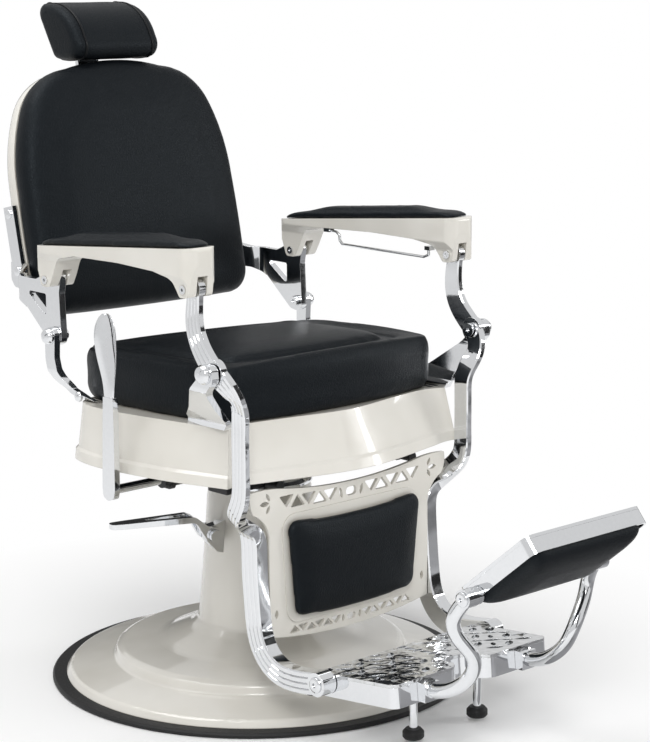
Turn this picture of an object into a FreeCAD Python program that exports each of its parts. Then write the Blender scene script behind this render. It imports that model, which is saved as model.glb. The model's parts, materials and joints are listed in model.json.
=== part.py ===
import FreeCAD, Part
import math
import os

V = FreeCAD.Vector
os.makedirs("parts", exist_ok=True)

# Frame: millimetres, +Z up, origin on the floor under the column, the chair faces -Y.
# Right and left are the sitter's, so right is -X.

# Clearances
RUN = 0.05           # radial clearance of a pin or rod in its bore
PLAY = 0.6           # side play between two moving pieces
OPEN_PIN = 3.2       # radial clearance at the open front pin of the arm linkage

# Base
BASE_R = 345.0       # outside of the rubber rim, 690 mm across
RIM_WIDE = 23.0
RIM_IN = BASE_R - RIM_WIDE
RIM_H = 8.0
COLUMN_TOP = 322.0
COLUMN_R_TOP = 84.0
COLUMN_R_LOW = 101.0
WALL = 7.0

# Hydraulics
ROD_R = 32.0
BORE_R = 42.0
ROD_TOP = 345.0
SPIGOT_R = 22.0
WASHER_H = 3.0

# Seat
APRON_TOP = 471.0
APRON_LOW = 384.0
SEAT_WALL = 5.0
LEDGE = 4.0          # thickness of the apron's inward top ledge
LEDGE_WIDE = 34.0
SEAT_TOP = 566.0

# Linkage, given as y and z of each pivot
REAR_PIVOT = (189.0, 570.0)
REAR_LUG = (186.0, 662.0)
FRONT_PIVOT = (-221.0, 566.0)
FRONT_LUG = (-180.0, 687.0)
PIVOT_PIN_R = 8.0
LUG_PIN_R = 4.5
BRACKET_X = (253.0, 265.0)     # back bracket plate, distance from the middle
POST_X = (269.5, 281.5)        # front post at its pivot
FRONT_EAR_X = (283.6, 296.5)
REAR_EAR_X = (265.8, 277.0)

# Arms
ARM_W = 60.0
ARM_SPLAY = math.degrees(math.atan(16.1 / 378.0))
ARM_MID_X = 267.9              # middle of the arm at y = 0
ARM_REAR = 212.0
ARM_FRONT = -198.0
ARM_TOP_MID = 733.0            # top surface at y = 0
ARM_SLOPE = 0.082              # rise of the top per millimetre forward

# Back
BACK_LEAN = 12.5
BACK_FOOT = (294.0, 580.0)     # y and z of the lower end of the back's middle plane
BACK_H = 423.0
BACK_HALF = 223.0

# Leg frame
BAR_T = 25.0
BAR_D = 36.0
BAR_X = 184.5
PANEL_Y = (-219.0, -213.0)
FOOT_PIN = (-349.0, 100.0)
TREAD_REAR = (-326.0, 110.0)   # y and z of the rear upper edge of the footplate
TREAD_TILT = 5.5
TREAD_LEN = 160.0
TREAD_HALF = 167.8
RIM_DEEP = 36.0
TUBE_R = 11.0
KICK_PIN = (-606.0, 278.0)
KICK_PIN_R = 6.0
KICK_HALF = 125.0
KICK_LEN = 162.0
KICK_DEEP = 25.0
KICK_RISE = 39.2               # angle of the kick plate above level

# Pump and levers
PUMP_TURN = -16.0              # turn of the pump and its pedal from pointing straight out
PUMP_PIN = (-107.0, 0.0, 250.0)
PEDAL_PIN_R = 7.0
LEVER_PIN = (-8.0, 357.0)
LEVER_R = 7.0


def at_x(x):
    return lambda a, b: V(x, a, b)


def at_y(y):
    return lambda a, b: V(a, y, b)


def at_z(z):
    return lambda a, b: V(a, b, z)


def save(name, shape):
    shape.exportStep("parts/" + name + ".step")


def mirrored(shape):
    return shape.mirror(V(0, 0, 0), V(1, 0, 0))


def save_pair(name, right):
    save(name + "_right", right)
    save(name + "_left", mirrored(right))


def save_group(name, rights):
    """Identical small pieces of both sides, kept as separate solids in one node."""
    save(name, Part.makeCompound(rights + [mirrored(shape) for shape in rights]))


def box(x, y, z):
    return Part.makeBox(x[1] - x[0], y[1] - y[0], z[1] - z[0], V(x[0], y[0], z[0]))


def rod(r, start, end):
    way = end.sub(start)
    return Part.makeCylinder(r, way.Length, start, way)


def rod_x(r, x, centre):
    return rod(r, V(x[0], centre[0], centre[1]), V(x[1], centre[0], centre[1]))


def join(shapes):
    return shapes[0].multiFuse(shapes[1:]).removeSplitter()


def line(a, b):
    return Part.makeLine(a, b)


def arc(a, m, b):
    return Part.Arc(a, m, b).toShape()


def corner(before, point, after):
    """Start, middle and end of the arc that rounds one corner of a polygon."""
    p = V(point[0], point[1], 0)
    u = V(before[0], before[1], 0).sub(p).normalize()
    w = V(after[0], after[1], 0).sub(p).normalize()
    half = u.getAngle(w) / 2
    reach = point[2] / math.tan(half)
    depth = point[2] / math.sin(half) - point[2]
    middle = p + (u + w).normalize() * depth
    return p + u * reach, middle, p + w * reach


def polygon(points, place):
    """Closed wire through (a, b) or (a, b, radius) corners."""
    count = len(points)
    turns = []
    for i, point in enumerate(points):
        if len(point) == 3:
            turns.append(corner(points[i - 1], point, points[(i + 1) % count]))
        else:
            p = V(point[0], point[1], 0)
            turns.append((p, None, p))
    edges = []
    for i, (start, middle, end) in enumerate(turns):
        if middle is not None:
            edges.append(arc(place(start.x, start.y), place(middle.x, middle.y), place(end.x, end.y)))
        after = turns[(i + 1) % count][0]
        if end.distanceToPoint(after) > 0.01:
            edges.append(line(place(end.x, end.y), place(after.x, after.y)))
    return Part.Wire(edges)


def prism(points, place, way):
    return Part.Face(polygon(points, place)).extrude(way)


def slab_x(points, x):
    return prism(points, at_x(x[0]), V(x[1] - x[0], 0, 0))


def slab_y(points, y):
    return prism(points, at_y(y[0]), V(0, y[1] - y[0], 0))


def slab_z(points, z):
    return prism(points, at_z(z[0]), V(0, 0, z[1] - z[0]))


def turned(points):
    """Solid of revolution round the column axis from (radius, height) corners."""
    return Part.Face(polygon(points, at_y(0))).revolve(V(0, 0, 0), V(0, 0, 1), 360)


def turned_on(points, origin, axis):
    """Solid of revolution with its profile drawn along another axis."""
    shape = turned(points)
    shape.Placement = FreeCAD.Placement(origin, FreeCAD.Rotation(V(0, 0, 1), axis))
    return shape


def loft(wires, ruled=False, degree=3):
    return Part.makeLoft(wires, True, ruled, False, degree)


def spline(points):
    curve = Part.BSplineCurve()
    curve.interpolate(points)
    return curve.toShape()


def outline(half, place):
    """Closed mirror-symmetric wire; half is the start point and then (middle, end) arcs."""
    edges = []
    start = half[0]
    for middle, end in half[1:]:
        edges.append(arc(place(*start), place(*middle), place(*end)))
        start = end
    for i in range(len(half) - 1, 0, -1):
        middle, end = half[i]
        start = half[i - 1] if i == 1 else half[i - 1][1]
        edges.append(arc(place(-end[0], end[1]), place(-middle[0], middle[1]), place(-start[0], start[1])))
    return Part.Wire(edges)


def drawn_in(place, inset, half_width, middle, half_length):
    """Plane mapping that shrinks an outline by an inset about its middle."""
    kx = (half_width - inset) / half_width
    ky = (half_length - inset) / half_length
    return lambda a, b: place(a * kx, middle + (b - middle) * ky)


def lens(length, width, turn, centre, z):
    """Pointed leaf-shaped cutter standing on a level plane."""
    a, b = V(-length / 2, 0, -20), V(length / 2, 0, -20)
    edges = [arc(a, V(0, width / 2, -20), b), arc(b, V(0, -width / 2, -20), a)]
    leaf = Part.Face(Part.Wire(edges)).extrude(V(0, 0, 40))
    leaf.rotate(V(0, 0, 0), V(0, 0, 1), turn)
    leaf.translate(V(centre[0], centre[1], z))
    return leaf


# Base


def base_outside():
    """Corners of the casting's outside, from the rim up to the top of the column."""
    low, top = COLUMN_R_LOW, COLUMN_R_TOP
    return [(RIM_IN, RIM_H + 1), (RIM_IN - 8, RIM_H + 11, 10), (RIM_IN - 79, 33, 6), (RIM_IN - 83, 47, 5),
            (RIM_IN - 93, 52, 14), (low + 64, 60, 60), (low + 17, 80, 30), (low + 3, 92, 10), (low, 118),
            (low - 6, 186), (top + 3, COLUMN_TOP - 26), (top, COLUMN_TOP)]


def base_inside():
    inner = []
    for point in base_outside()[::-1]:
        low = point[1] < 60
        inner.append((point[0] - (2 if low else WALL), point[1] - (WALL if low else 2)))
    inner[0] = (COLUMN_R_TOP - WALL, COLUMN_TOP)
    inner[-1] = (RIM_IN - WALL, 5)
    return inner


def base_casting():
    return turned(base_outside() + base_inside() + [(RIM_IN - WALL, 2), (RIM_IN, 2)])


def base_rubber_rim():
    return turned([(RIM_IN, 0), (BASE_R - 2, 0), (BASE_R, 2), (BASE_R, RIM_H - 3), (BASE_R - 3, RIM_H),
                   (RIM_IN, RIM_H)])


def base_plate():
    return turned([(0, 0), (RIM_IN - WALL, 0), (RIM_IN - WALL, 5), (0, 5)])


def hydraulic_cylinder():
    top = COLUMN_TOP - 12
    return turned([(0, 5), (BORE_R + 16, 5), (BORE_R + 16, top), (BORE_R, top), (BORE_R, 13), (0, 13)])


def cylinder_gland():
    bore = ROD_R + RUN
    low, top = COLUMN_TOP - 12, COLUMN_TOP
    return turned([(bore, low - 25), (BORE_R, low - 25), (BORE_R, low), (70, low), (70, top),
                   (COLUMN_R_TOP + 3, top), (COLUMN_R_TOP + 3, top + 5, 3), (COLUMN_R_TOP - 4, top + 9),
                   (bore, top + 9)])


def piston_rod():
    head = BORE_R - RUN
    return turned([(0, 60), (head, 60), (head, 84), (ROD_R, 84), (ROD_R, ROD_TOP), (SPIGOT_R, ROD_TOP),
                   (SPIGOT_R, 383), (0, 383)])


def thrust_washer():
    return turned([(SPIGOT_R, ROD_TOP), (38, ROD_TOP), (38, ROD_TOP + WASHER_H),
                   (SPIGOT_R, ROD_TOP + WASHER_H)])


# Pump


def pump_local(shape):
    """Moves a piece drawn round the pedal pin, pedal towards -X, to its place on the column."""
    shape.rotate(V(0, 0, 0), V(0, 0, 1), PUMP_TURN)
    shape.translate(V(*PUMP_PIN))
    return shape


def pump_block():
    body = slab_y([(32, -36), (8, -30, 8), (-11, -9, 9), (-11, 11, 9), (8, 16, 6), (32, 24)], (-9.4, 9.4))
    pin = rod(PEDAL_PIN_R, V(0, -26, 0), V(0, 26, 0))
    outside = pump_local(body.cut(pin)).cut(base_casting())
    return max(outside.Solids, key=lambda solid: solid.Volume), pump_local(pin)


def pump_pedal():
    side = [(12, -2, 6), (9, -12, 8), (-12, -9, 10), (-32, 25, 12), (-182, 28, 4), (-182, 36, 4),
            (-34, 35, 16), (-8, 14, 8), (11, 12, 8)]
    plan = [(20, -19.5), (20, 19.5), (-30, 19.5), (-150, 12), (-172, 9, 8), (-172, -9, 8), (-150, -12),
            (-30, -19.5)]
    gap = [(30, -10), (30, 10), (-40, 10), (-112, 3.5, 2), (-112, -3.5, 2), (-40, -10)]
    body = slab_y(side, (-25, 25)).common(slab_z(plan, (-60, 60)).cut(slab_z(gap, (-61, 61))))
    hole = rod(PEDAL_PIN_R + RUN, V(0, -60, 0), V(0, 60, 0))
    return pump_local(body.cut(hole))


def pedal_collars():
    collars = []
    for s in (-1, 1):
        ring = rod(10.5, V(0, s * 20.1, 0), V(0, s * 28, 0))
        collars.append(pump_local(ring.cut(rod(PEDAL_PIN_R, V(0, s * 19, 0), V(0, s * 26, 0)))))
    return collars


# Seat

APRON_FRONT = ([(0, -215), (90, -201), (150, -190), (190, -186), (215, -190), (232, -198)],
               [(0, -252), (90, -240), (150, -225), (190, -215), (218, -208), (246, -211)])
APRON_SIDE = ([(232, -198), (243, -150), (253, -100), (269, -15), (276, 50), (275, 90), (265, 121),
               (244, 138), (200, 147), (100, 156)],
              [(246, -211), (262, -160), (279, -100), (292, -15), (297, 42), (292, 85), (279, 120),
               (257, 139), (212, 150), (105, 160)])


def between(pair, share, k):
    """Points part of the way from the upper to the lower outline, scaled by k."""
    return [((a[0] + (b[0] - a[0]) * share) * k, (a[1] + (b[1] - a[1]) * share) * k) for a, b in zip(*pair)]


def apron_wire(z, share, grow):
    k = 1 + grow / 240.0
    front = between(APRON_FRONT, share, k)
    side = between(APRON_SIDE, share, k)
    rear = (0, side[-1][1] + 2)
    whole = [V(-x, y, z) for x, y in front[:0:-1]] + [V(x, y, z) for x, y in front]
    right = [V(x, y, z) for x, y in side] + [V(rear[0], rear[1], z)]
    left = [V(rear[0], rear[1], z)] + [V(-x, y, z) for x, y in side[::-1]]
    return Part.Wire([spline(whole), spline(right), spline(left)])


def seat_apron():
    """Curved skirt with a ledge along its top that closes the gap to the cushion."""
    levels = [(APRON_TOP, 0.0, 0), (APRON_LOW + 19, 0.78, 0), (APRON_LOW + 15, 0.83, 3), (APRON_LOW, 1.0, 3)]
    outer = loft([apron_wire(*level) for level in levels], True)
    inner = loft([apron_wire(APRON_TOP - LEDGE, 0, -SEAT_WALL), apron_wire(APRON_LOW - 1, 1.0, -SEAT_WALL)],
                 True)
    window = Part.Face(apron_wire(APRON_LOW - 2, 0, -LEDGE_WIDE)).extrude(V(0, 0, APRON_TOP - APRON_LOW + 4))
    notches = []
    for s in (-1, 1):
        notches.append(box(sorted((s * 217, s * 229)), (-178, -98), (APRON_TOP - 40, APRON_TOP + 1)))
        notches.append(box(sorted((s * 236, s * 256)), (96, 127), (APRON_TOP - 40, APRON_TOP + 1)))
    body = outer.cut(inner).cut(window)
    for notch in notches:
        body = body.cut(notch)
    return body


def seat_subframe():
    """Dark steel frame: hub plate, two long rails, cross rails, brace tabs and front stops."""
    top = APRON_TOP
    pieces = [box((-85, 85), (-85, 85), (386, 394))]
    for s in (-1, 1):
        pieces.append(box(sorted((s * 80, s * 100)), (-176, 140), (388, 428)))
        pieces.append(box(sorted((s * 219, s * 227)), (-176, -100), (392, top)))
        pieces.append(box(sorted((s * 238, s * 245.5)), (98, 124), (392, top - 5)))
        pieces.append(box(sorted((s * 98, s * 220)), (-176, -156), (400, 420)))
        pieces.append(box(sorted((s * 98, s * 240)), (102, 122), (400, 420)))
        pieces.append(box(sorted((s * 135, s * 151)), (-184, -156), (362, 410)))
        pieces.append(box(sorted((s * 80, s * 100)), (-150, -110), (428, top)))
        pieces.append(box(sorted((s * 80, s * 100)), (60, 100), (428, top)))
    pieces.append(box((-100, 100), (-176, -160), (400, 428)))
    pieces.append(box((-100, 100), (124, 140), (400, 428)))
    pieces.append(slab_z([(-226, -184), (-140, -184), (-140, -160), (-226, -130, 10)], (366, 380)))
    pieces.append(box((-224, -212), (-176, -140), (370, 402)))
    return join(pieces)


def swivel_hub():
    low = ROD_TOP + WASHER_H + 0.3
    bore = SPIGOT_R + RUN
    return turned([(bore, low), (44, low), (44, 372, 6), (78, 376), (78, 386), (bore, 386)])


def stop_bumper():
    return rod(8, V(-143, -184, 371), V(-143, PANEL_Y[1] + 0.2, 371))


def seat_board():
    return slab_z([(-212, -166, 20), (212, -166, 20), (234, 126, 40), (-234, 126, 40)],
                  (APRON_TOP + 0.3, APRON_TOP + 3))


SEAT_HALF = [(0, -206), ((105, -200), (194, -185)), ((217, -177), (226, -155)), ((242, -45), (249, 65)),
             ((250, 108), (241, 138)), ((228, 157), (186, 163)), ((90, 170), (0, 171))]


def seat_cushion():
    """Cushion whose upper half leans back a little, so its front edge stands highest."""
    low = APRON_TOP + 3
    levels = [(low, 8, 0), (low + 22, 0, 0), (low + 50, 0, 0.5), (SEAT_TOP - 20, 1.5, 1.0),
              (SEAT_TOP - 9, 7, 1.5), (SEAT_TOP - 3, 22, 1.7), (SEAT_TOP, 70, 1.7)]
    wires = []
    for z, inset, lean in levels:
        wire = outline(SEAT_HALF, drawn_in(at_z(z), inset, 244.0, -15.0, 189.0))
        wire.rotate(V(0, -150, z), V(1, 0, 0), -lean)
        wires.append(wire)
    return loft(wires)


def front_brace():
    y, z = FRONT_PIVOT
    side = [(-200, APRON_TOP), (-115, APRON_TOP), (-117, 485, 8), (-142, 502, 14), (-183, 538, 30),
            (y + 17, z - 8, 12), (y + 15, z + 14, 12), (y - 15, z + 14, 12), (y - 18, z - 10, 12),
            (-214, 530, 20), (-207, 505, 30), (-208, 484, 10)]
    a, b = FRONT_EAR_X
    front = [(-229, APRON_TOP), (-229, 478, 2), (-236, 484, 4), (-a, 540, 14), (-a, z + 20), (-b, z + 20),
             (-b, 540, 14), (-243, 480, 6), (-243, APRON_TOP)]
    body = slab_x(side, (-300, -220)).common(slab_y(front, (-270, -100)))
    return body.cut(rod_x(PIVOT_PIN_R, (-320, -200), FRONT_PIVOT))


def dome(r, height, origin, axis):
    return turned_on([(0, 0), (r, 0), (r, height * 0.35, 1.5), (r * 0.8, height * 0.8, 5), (r * 0.25, height),
                      (0, height)], origin, axis)


def pivot_bolt(centre, ear, low, dome_r):
    """Fixed pin with a dome outside the ear and a plain head inside."""
    y, z = centre
    pin = rod_x(PIVOT_PIN_R, (-ear[1], -low), centre)
    head = rod_x(dome_r - 4, (-low, -low + 7), centre)
    socket = rod_x(3.2, (-low + 4, -low + 8), centre)
    cap = dome(dome_r, 12, V(-ear[1], y, z), V(-1, 0, 0))
    return join([pin, head, cap]).cut(socket)


def rear_brace():
    y, z = REAR_PIVOT
    side = [(y - 13, z + 4, 8), (y - 11, z - 34, 20), (y - 20, z - 64, 20), (150, 488, 10), (128, 482, 8),
            (100, 474), (100, 452), (123, 452), (125, 474), (144, 475, 10), (y + 4, 498, 30),
            (y + 13, 532, 30), (y + 13, z + 4, 8), (y + 9, z + 14, 8), (y - 9, z + 14, 8)]
    a, b = REAR_EAR_X
    front = [(-a, z + 20), (-a, 518, 14), (-253.5, 490, 10), (-253.5, 478), (-246, 470), (-246, 450),
             (-254, 450), (-254, 470), (-263, 479), (-263, 488, 10), (-b, 514, 14), (-b, z + 20)]
    body = slab_x(side, (-290, -230)).common(slab_y(front, (90, 240)))
    return body.cut(rod_x(PIVOT_PIN_R, (-320, -200), REAR_PIVOT))


def brace_bolt(centre, x):
    head = dome(8.5, 7, V(-x, centre[0], centre[1]), V(-1, 0, 0))
    return head


def recline_housing():
    y, z = LEVER_PIN
    tube = rod_x(13, (-212, -98), LEVER_PIN).cut(rod_x(LEVER_R + RUN, (-220, -90), LEVER_PIN))
    plates = []
    for x in ((-200, -192), (-118, -110)):
        plate = slab_x([(y - 16, z), (y - 10, z - 16, 8), (y + 10, z - 16, 8), (y + 60, 398), (y - 26, 398)],
                       x)
        plates.append(plate.cut(rod_x(13, (-220, -90), LEVER_PIN)))
    cover = box((-200, -110), (y + 6, y + 70), (390, 399))
    return join([tube] + plates + [cover, box((-110, -100), (y - 20, y + 20), (388, 399))])


def lever_section(z, x, y, wide, thick, twist):
    """Oval section of the handle; the twist turns its width from along the chair towards across it."""
    turn = math.radians(twist)
    along, across = V(math.sin(turn), -math.cos(turn), 0), V(math.cos(turn), math.sin(turn), 0)
    ring = []
    for i in range(12):
        a = math.radians(30 * i)
        ring.append(V(x, y, z) + along * (wide * math.cos(a)) + across * (thick * math.sin(a)))
    curve = Part.BSplineCurve()
    curve.interpolate(ring, PeriodicFlag=True)
    return Part.Wire([curve.toShape()])


def recline_lever():
    """Flat bar whose top twists into a rounded paddle, on its shaft."""
    y, z = LEVER_PIN
    side = [(y - 20, z + 4), (y - 17, z - 10, 8), (y - 3, z - 15, 8), (y + 9, z - 10, 8), (y + 11, z + 4),
            (y + 7, z + 113), (y + 5, z + 148), (y - 19, z + 148), (y - 20, z + 113)]
    handle = slab_x(side, (-318, -308))
    stations = ((138, -5, 11.2, 4.5, 0), (158, -5, 12, 4.9, 4), (180, -4, 13, 5.2, 18),
                (204, -1, 15, 5.6, 36), (228, 2, 16.5, 5.8, 48), (246, 3, 16.5, 5.4, 52),
                (260, 3, 14, 4.8, 52), (270, 2, 10, 3.8, 52), (276, 1, 5, 2.2, 52))
    paddle = loft([lever_section(z + up, -313, y + over, wide, thick, turn)
                   for up, over, wide, thick, turn in stations])
    shaft = rod_x(LEVER_R, (-310, -92), LEVER_PIN)
    return join([handle, paddle, shaft])


# Front posts and leg frame

POST_PATH = [(-275.5, -180, 687, 12, 26), (-275.5, -175, 655, 12, 30), (-275.5, -177, 624, 12, 33),
             (-275.5, -191, 596, 12, 35), (-275.5, -218, 568, 12, 36), (-267, -236, 546, 12, 34),
             (-252, -241, 523, 12, 32), (-241, -236, 503, 12, 31), (-239, -233, 480, 12, 31),
             (-239, -233, 440, 12, 31), (-239, -233, 400, 12, 31), (-239, -232, 374, 13, 31),
             (-238, -224, 354, 14, 31), (-229, -210, 336, 17, 31), (-209, -201, 321, 20, 33),
             (-190, -198, 305, 23, 35), (-184.5, -198, 285, 25, 36), (-184.5, -199, 250, 25, 36),
             (-184.5, -202, 210, 25, 36), (-184.5, -206, 172, 25, 36), (-184.5, -212, 142, 25, 36),
             (-184.5, -228, 115, 25, 36), (-184.5, -254, 98, 25, 36), (-184.5, -290, 93, 25, 36),
             (-184.5, -322, 96, 25, 36), (-184.5, -349, 100, 25, 36)]


def reeded(centre, along, thick, deep):
    """Bar section square to the path, with three grooves in its outer face."""
    out = V(-1, 0, 0)
    out = out - along * out.dot(along)
    out.normalize()
    back = along.cross(out)
    t, d, c, g = thick / 2, deep / 2, 2.0, 1.4
    points = [(-t, -d + c), (-t + c, -d), (t - c, -d), (t, -d + c)]
    for b in (-deep / 4, 0, deep / 4):
        points += [(t, b - g), (t - 1.6, b), (t, b + g)]
    points += [(t, d - c), (t - c, d), (-t + c, d), (-t, d - c)]
    corners = [centre + out * a + back * b for a, b in points]
    return Part.makePolygon(corners + corners[:1])


def share_between(marks, at):
    """Values of the last entries of marks, blended at a length along the path."""
    for low, high in zip(marks[:-1], marks[1:]):
        if at <= high[0] + 1e-6:
            k = (at - low[0]) / (high[0] - low[0])
            return [a + (b - a) * k for a, b in zip(low[1:], high[1:])]
    return marks[-1][1:]


def stations(path, count):
    """Evenly spaced centres along a smooth path, with its direction and section sizes there."""
    edge = spline([V(*p[:3]) for p in path])
    curve = edge.Curve
    first = edge.FirstParameter
    marks = [[curve.length(first, curve.parameter(V(*p[:3]))) if i else 0.0] + list(p[3:])
             for i, p in enumerate(path)]
    found = []
    for i in range(count):
        at = marks[-1][0] * i / (count - 1)
        u = curve.parameterAtDistance(at, first) if i else first
        found.append([curve.value(u), V(*curve.tangent(u)[0])] + share_between(marks, at))
    return found


def front_post():
    bar = loft([reeded(*station) for station in stations(POST_PATH, 38)], degree=5)
    top = rod_x(15, (-281.5, -269.5), FRONT_LUG)
    hub = rod_x(20, (-POST_X[1], -POST_X[0]), FRONT_PIVOT)
    foot = rod_x(18.5, (-BAR_X - BAR_T / 2, -BAR_X + BAR_T / 2), FOOT_PIN)
    body = join([bar, top, hub, foot])
    body = body.cut(rod_x(LUG_PIN_R + OPEN_PIN, (-300, -250), FRONT_LUG))
    body = body.cut(rod_x(PIVOT_PIN_R + RUN, (-300, -250), FRONT_PIVOT))
    body = body.cut(rod_x(13, (-POST_X[0], -240), FRONT_PIVOT))
    return body.cut(rod_x(6, (-200, -168), FOOT_PIN))


def foot_bolt():
    y, z = FOOT_PIN
    x = BAR_X + BAR_T / 2
    pin = rod_x(6, (-x, -166), FOOT_PIN)
    head = turned_on([(0, 0), (12, 0), (12, 2, 0.8), (9, 4, 1.5), (0, 4)], V(-x, y, z), V(-1, 0, 0))
    return join([pin, head]).cut(rod_x(3.5, (-x - 5, -x - 1.5), FOOT_PIN))


def panel_half(z, grow=0.0):
    return 171.0 + grow if z < 300 else 209.0


def leg_panel_face():
    half = [(0, 122), ((90, 126), (171.0, 137)), ((171.6, 220), (171.0, 296)), ((180, 318), (203, 336)),
            ((209, 350), (209, 371)), ((180, 372), (148, 369)), ((75, 360), (0, 357))]
    return outline(half, at_y(PANEL_Y[0]))


def through_panel():
    return PANEL_Y[0] - 9, PANEL_Y[1] + 9


def petal(x, z, length, width, turn):
    """Pointed leaf cutter through the panel, and its mirror image."""
    cut = lens(length, width, turn, (0, 0), 0)
    cut.rotate(V(0, 0, 0), V(1, 0, 0), 90)
    cut.translate(V(x, (PANEL_Y[0] + PANEL_Y[1]) / 2, z))
    return [cut, mirrored(cut)]


def leaf_spray(x, z):
    """Three leaves spreading from one point, and their mirror images."""
    cuts = []
    for length, turn in ((18, 0), (14, 60), (14, -60)):
        way = math.radians(turn)
        reach = 4 + length / 2
        cuts += petal(x + reach * math.cos(way), z + reach * math.sin(way), length, 0.42 * length, turn)
    return cuts


def oval(wide, z, high):
    r = high - 0.5
    corners = [(-wide, z - high, r), (wide, z - high, r), (wide, z + high, r), (-wide, z + high, r)]
    return slab_y(corners, through_panel())


def fret_row(first, pitch, count, level, wide, high):
    """Rounded triangles pointing up and down in turn, and their mirror images, along the panel edge."""
    cuts = []
    for i in range(count):
        x = first + i * pitch
        z = level + 0.0003 * x * x
        up = high if i % 2 else -high
        cut = slab_y([(x - wide, z - up, 1.5), (x + wide, z - up, 1.5), (x, z + up, 1.5)], through_panel())
        cuts += [cut, mirrored(cut)]
    return cuts


def leg_panel():
    plate = Part.Face(leg_panel_face()).extrude(V(0, PANEL_Y[1] - PANEL_Y[0], 0))
    rim = slab_y([(-136, 151, 26), (136, 151, 26), (148, 326, 26), (-148, 326, 26)],
                 (PANEL_Y[0] - 1.5, PANEL_Y[0]))
    sides = [box(sorted((s * 165.0, s * 171.0)), (PANEL_Y[1], -188), (140, 292)) for s in (-1, 1)]
    cuts = fret_row(44, 23, 5, 341.5, 15.5, 9.5) + fret_row(33, 17.5, 6, 137, 11.5, 6)
    cuts += petal(22, 341, 18, 6.5, 74) + petal(18, 137, 12, 5.5, 90) + petal(158, 172, 14, 7, 90)
    cuts += leaf_spray(168, 350) + [oval(11.5, 341, 7), oval(9, 137, 5)]
    return join([plate, rim] + sides).cut(Part.makeCompound(cuts)).removeSplitter()


def leg_pad():
    half = [(0, 157), ((55, 158), (104, 162)), ((123, 167), (129, 186)), ((134, 236), (140, 292)),
            ((137, 313), (118, 319)), ((60, 312.5), (0, 311))]
    y = PANEL_Y[0] - 1.6
    wires = []
    for depth, inset in ((0, 4), (6, 0), (11, 1), (16, 8), (19.5, 24), (21.5, 52)):
        wires.append(outline(half, drawn_in(at_y(y - depth), inset, 139.0, 238.0, 78.0)))
    return loft(wires)


def tread_place(shape):
    """Moves a piece drawn level, with its rear upper edge at the origin, onto the footplate."""
    shape.rotate(V(0, 0, 0), V(1, 0, 0), -TREAD_TILT)
    shape.translate(V(0, TREAD_REAR[0], TREAD_REAR[1]))
    return shape


def tread_outline(inset):
    w = TREAD_HALF - inset
    n = 25 + inset
    front = -TREAD_LEN + inset
    deep = -TREAD_LEN + 46 + inset
    r = max(26 - inset, 6)
    return [(-w - 4, -inset, 8), (w + 4, -inset, 8), (w, front, 12), (n, front, r), (n, deep, 14),
            (-n, deep, 14), (-n, front, r), (-w, front, 12)]


def footplate_rim():
    ring = slab_z(tread_outline(0), (-RIM_DEEP, -5)).cut(slab_z(tread_outline(5), (-RIM_DEEP - 1, -4)))
    ring = tread_place(ring)
    cross = tread_place(box((-160, 160), (-112, -92), (-17, -5)))
    pins = [rod_x(6, sorted((s * 150, s * 180)), FOOT_PIN) for s in (-1, 1)]
    body = join([ring, cross])
    for tool in pins + [tube_sweep(TUBE_R), mirrored(tube_sweep(TUBE_R))]:
        body = body.cut(tool)
    return body


def footplate_tread():
    plate = slab_z(tread_outline(0), (-5, 0))
    cutters = []
    for s in (-1, 1):
        for i, x in enumerate((38, 70, 102, 134)):
            for j, y in enumerate((-26, -62, -98, -134)):
                if j == 3 and i == 0:
                    continue
                side = 1 if (i + j) % 2 else -1
                cutters.append(lens(30, 12, s * side * 38, (s * (x + 6), y), -2))
                cutters.append(lens(20, 8, -s * side * 52, (s * (x + 20), y + 17), -2))
        cutters.append(lens(30, 10, s * 30, (s * 156, -50), -2))
        cutters.append(lens(30, 10, -s * 30, (s * 156, -112), -2))
    for y in (-24, -58, -92):
        cutters.append(lens(26, 11, 90, (0, y), -2))
        cutters.append(lens(24, 9, 0, (0, y + 17), -2))
    return tread_place(plate.cut(Part.makeCompound(cutters)))


TUBE_PATH = [(-106, -478, 105), (-106, -505, 108), (-105, -532, 115), (-103, -558, 130), (-103, -579, 152),
             (-109, -588, 176), (-KICK_HALF + 1, -587, 198), (-KICK_HALF - 14, -583, 218),
             (-KICK_HALF - 21, -582, 238), (-KICK_HALF - 19, -590, 258), (-KICK_HALF - 16, -606, 278)]


def tube_sweep(r):
    edge = spline([V(*p) for p in TUBE_PATH])
    ring = Part.Circle(V(*TUBE_PATH[0]), edge.tangentAt(edge.FirstParameter), r).toShape()
    return Part.Wire([edge]).makePipeShell([Part.Wire([ring])], True, True)


def kick_tube():
    out, inner = KICK_HALF + 27, KICK_HALF + 6
    body = join([tube_sweep(TUBE_R), rod_x(14, (-out, -inner), KICK_PIN)])
    body = body.cut(rod_x(KICK_PIN_R, (-out - 8, -inner + 11), KICK_PIN))
    body = body.cut(rod_x(11.4, (-out - 23, -out), KICK_PIN))
    return body.cut(rod_x(14.6, (-inner, -inner + 21), KICK_PIN))


def tube_socket():
    block = box((-121, -91), (-503, -481), (92, 120))
    hold = tread_place(slab_z(tread_outline(0), (-60, 10)))
    return block.cut(hold).cut(tube_sweep(TUBE_R))


def kick_pin():
    out = KICK_HALF + 27
    pin = rod_x(KICK_PIN_R, (-out, -KICK_HALF + 3.8), KICK_PIN)
    profile = [(0, 0), (11, 0), (11, 2.5, 1), (8, 4.5, 1), (0, 4.5)]
    head = turned_on(profile, V(-out, KICK_PIN[0], KICK_PIN[1]), V(-1, 0, 0))
    return join([pin, head]).cut(rod_x(3.2, (-out - 6, -out - 1.5), KICK_PIN))


def support_foot():
    stem = rod(6.5, V(-70, -428, 22), V(-70, -428, 102))
    nut = rod(11, V(-70, -428, 76), V(-70, -428, 90))
    return join([stem, nut])


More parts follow.
